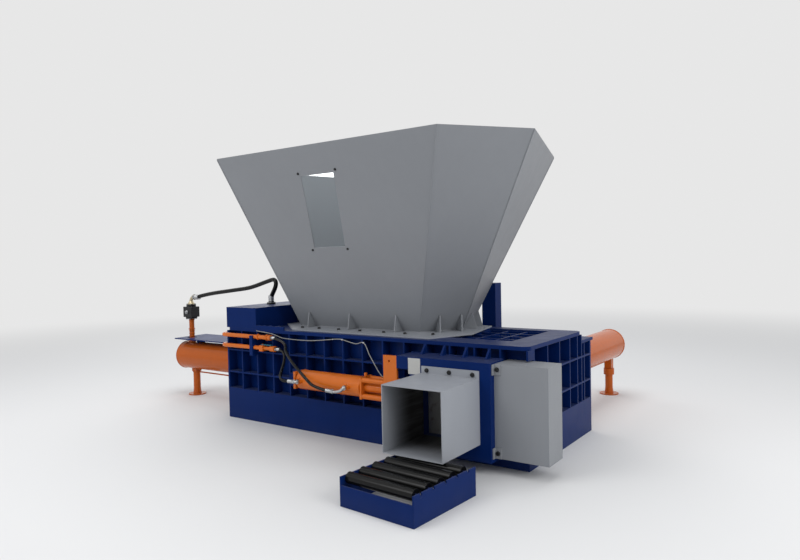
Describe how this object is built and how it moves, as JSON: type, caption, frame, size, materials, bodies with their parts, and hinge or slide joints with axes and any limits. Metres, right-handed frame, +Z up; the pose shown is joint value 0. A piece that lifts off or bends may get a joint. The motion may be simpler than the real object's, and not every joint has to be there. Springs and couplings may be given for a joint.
{
  "type": "horizontal can baler",
  "caption": "Horizontal metal and can baler: ribbed press body with feed hopper, main and side ram cylinders, sliding discharge gate, square chute and a small roller table.",
  "frame": {"origin": "centre of the press body's footprint, on the floor", "axes": "+X along the body towards the discharge end, -Y out of the front face with the chute, +Z up"},
  "size_m": [4.913, 4.27, 2.45],
  "materials": {
    "body_blue": "semi-gloss enamel",
    "hopper_grey": "satin enamel",
    "cylinder_orange": "semi-gloss enamel",
    "rod_chrome": "polished",
    "bare_steel": "worn",
    "hose_rubber": "matt",
    "black_metal": "satin",
    "clear_pane": "clear"
  },
  "bodies": {
    "machine": {"base_frame": "body_blue", "chamber_floor": "bare_steel", "front_wall": "body_blue", "back_wall": "body_blue", "left_wall": "body_blue", "thrust_wall": "body_blue", "right_wall": "body_blue", "chamber_roof": "body_blue", "front_ribs": "body_blue", "right_ribs": "body_blue", "top_plate": "body_blue", "recess_ribs": "body_blue", "end_block": "body_blue", "rear_box": "body_blue", "main_barrel": "cylinder_orange", "main_gland": "cylinder_orange", "main_pedestal": "cylinder_orange", "side_barrel": "cylinder_orange", "side_gland": "cylinder_orange", "side_pedestal": "cylinder_orange", "gate_frame": "body_blue", "gate_cover": "hopper_grey", "gate_barrel": "cylinder_orange", "gate_cage": "cylinder_orange", "gate_bracket": "body_blue", "lug_plate": "cylinder_orange", "chute": "hopper_grey", "bolts": "black_metal", "hopper_front": "hopper_grey", "hopper_corner_right": "hopper_grey", "hopper_side_right": "hopper_grey", "hopper_back": "hopper_grey", "hopper_side_left": "hopper_grey", "hopper_corner_left": "hopper_grey", "hopper_flange": "hopper_grey", "hopper_gussets": "hopper_grey", "feed_slopes": "hopper_grey", "window_pane": "clear_pane", "oil_pipes": "cylinder_orange", "pipe_clamp": "body_blue", "gate_hoses": "hose_rubber", "main_valve": "black_metal", "main_hose": "hose_rubber", "sensor_lead": "hose_rubber", "rear_post": "body_blue", "cylinder_guard": "body_blue", "table_frame": "body_blue", "roller_shafts": "bare_steel"},
    "main_ram": {"main_ram": "bare_steel", "main_rod": "rod_chrome"},
    "side_ram": {"side_ram": "bare_steel", "side_rod": "rod_chrome"},
    "gate": {"gate": "bare_steel", "gate_rod": "rod_chrome"},
    "valve_lever": {"valve_lever": "cylinder_orange"},
    "roller_1": {"roller_1": "black_metal"},
    "roller_2": {"roller_2": "black_metal"},
    "roller_3": {"roller_3": "black_metal"},
    "roller_4": {"roller_4": "black_metal"},
    "roller_5": {"roller_5": "black_metal"}
  },
  "joints": [
    {"name": "main_ram_slide", "type": "slide", "parent": "machine", "child": "main_ram", "axis": [1, 0, 0], "range_m": [0, 1.5]},
    {"name": "side_ram_slide", "type": "slide", "parent": "machine", "child": "side_ram", "axis": [0, -1, 0], "range_m": [0, 1.05]},
    {"name": "gate_slide", "type": "slide", "parent": "machine", "child": "gate", "axis": [1, 0, 0], "range_m": [0, 0.48]},
    {"name": "valve_lever_turn", "type": "hinge", "parent": "machine", "child": "valve_lever", "pos_m": [-1.075, -0.58, 0.76], "axis": [0, 0, 1], "range_deg": [-90, 0]},
    {"name": "roller_1_spin", "type": "hinge", "parent": "machine", "child": "roller_1", "pos_m": [1.17274, -1.7126, 0.168], "axis": [0.9976, -0.0698, 0], "continuous": true},
    {"name": "roller_2_spin", "type": "hinge", "parent": "machine", "child": "roller_2", "pos_m": [1.18146, -1.5879, 0.168], "axis": [0.9976, -0.0698, 0], "continuous": true},
    {"name": "roller_3_spin", "type": "hinge", "parent": "machine", "child": "roller_3", "pos_m": [1.19018, -1.46321, 0.168], "axis": [0.9976, -0.0698, 0], "continuous": true},
    {"name": "roller_4_spin", "type": "hinge", "parent": "machine", "child": "roller_4", "pos_m": [1.1989, -1.33851, 0.168], "axis": [0.9976, -0.0698, 0], "continuous": true},
    {"name": "roller_5_spin", "type": "hinge", "parent": "machine", "child": "roller_5", "pos_m": [1.20762, -1.21382, 0.168], "axis": [0.9976, -0.0698, 0], "continuous": true}
  ]
}
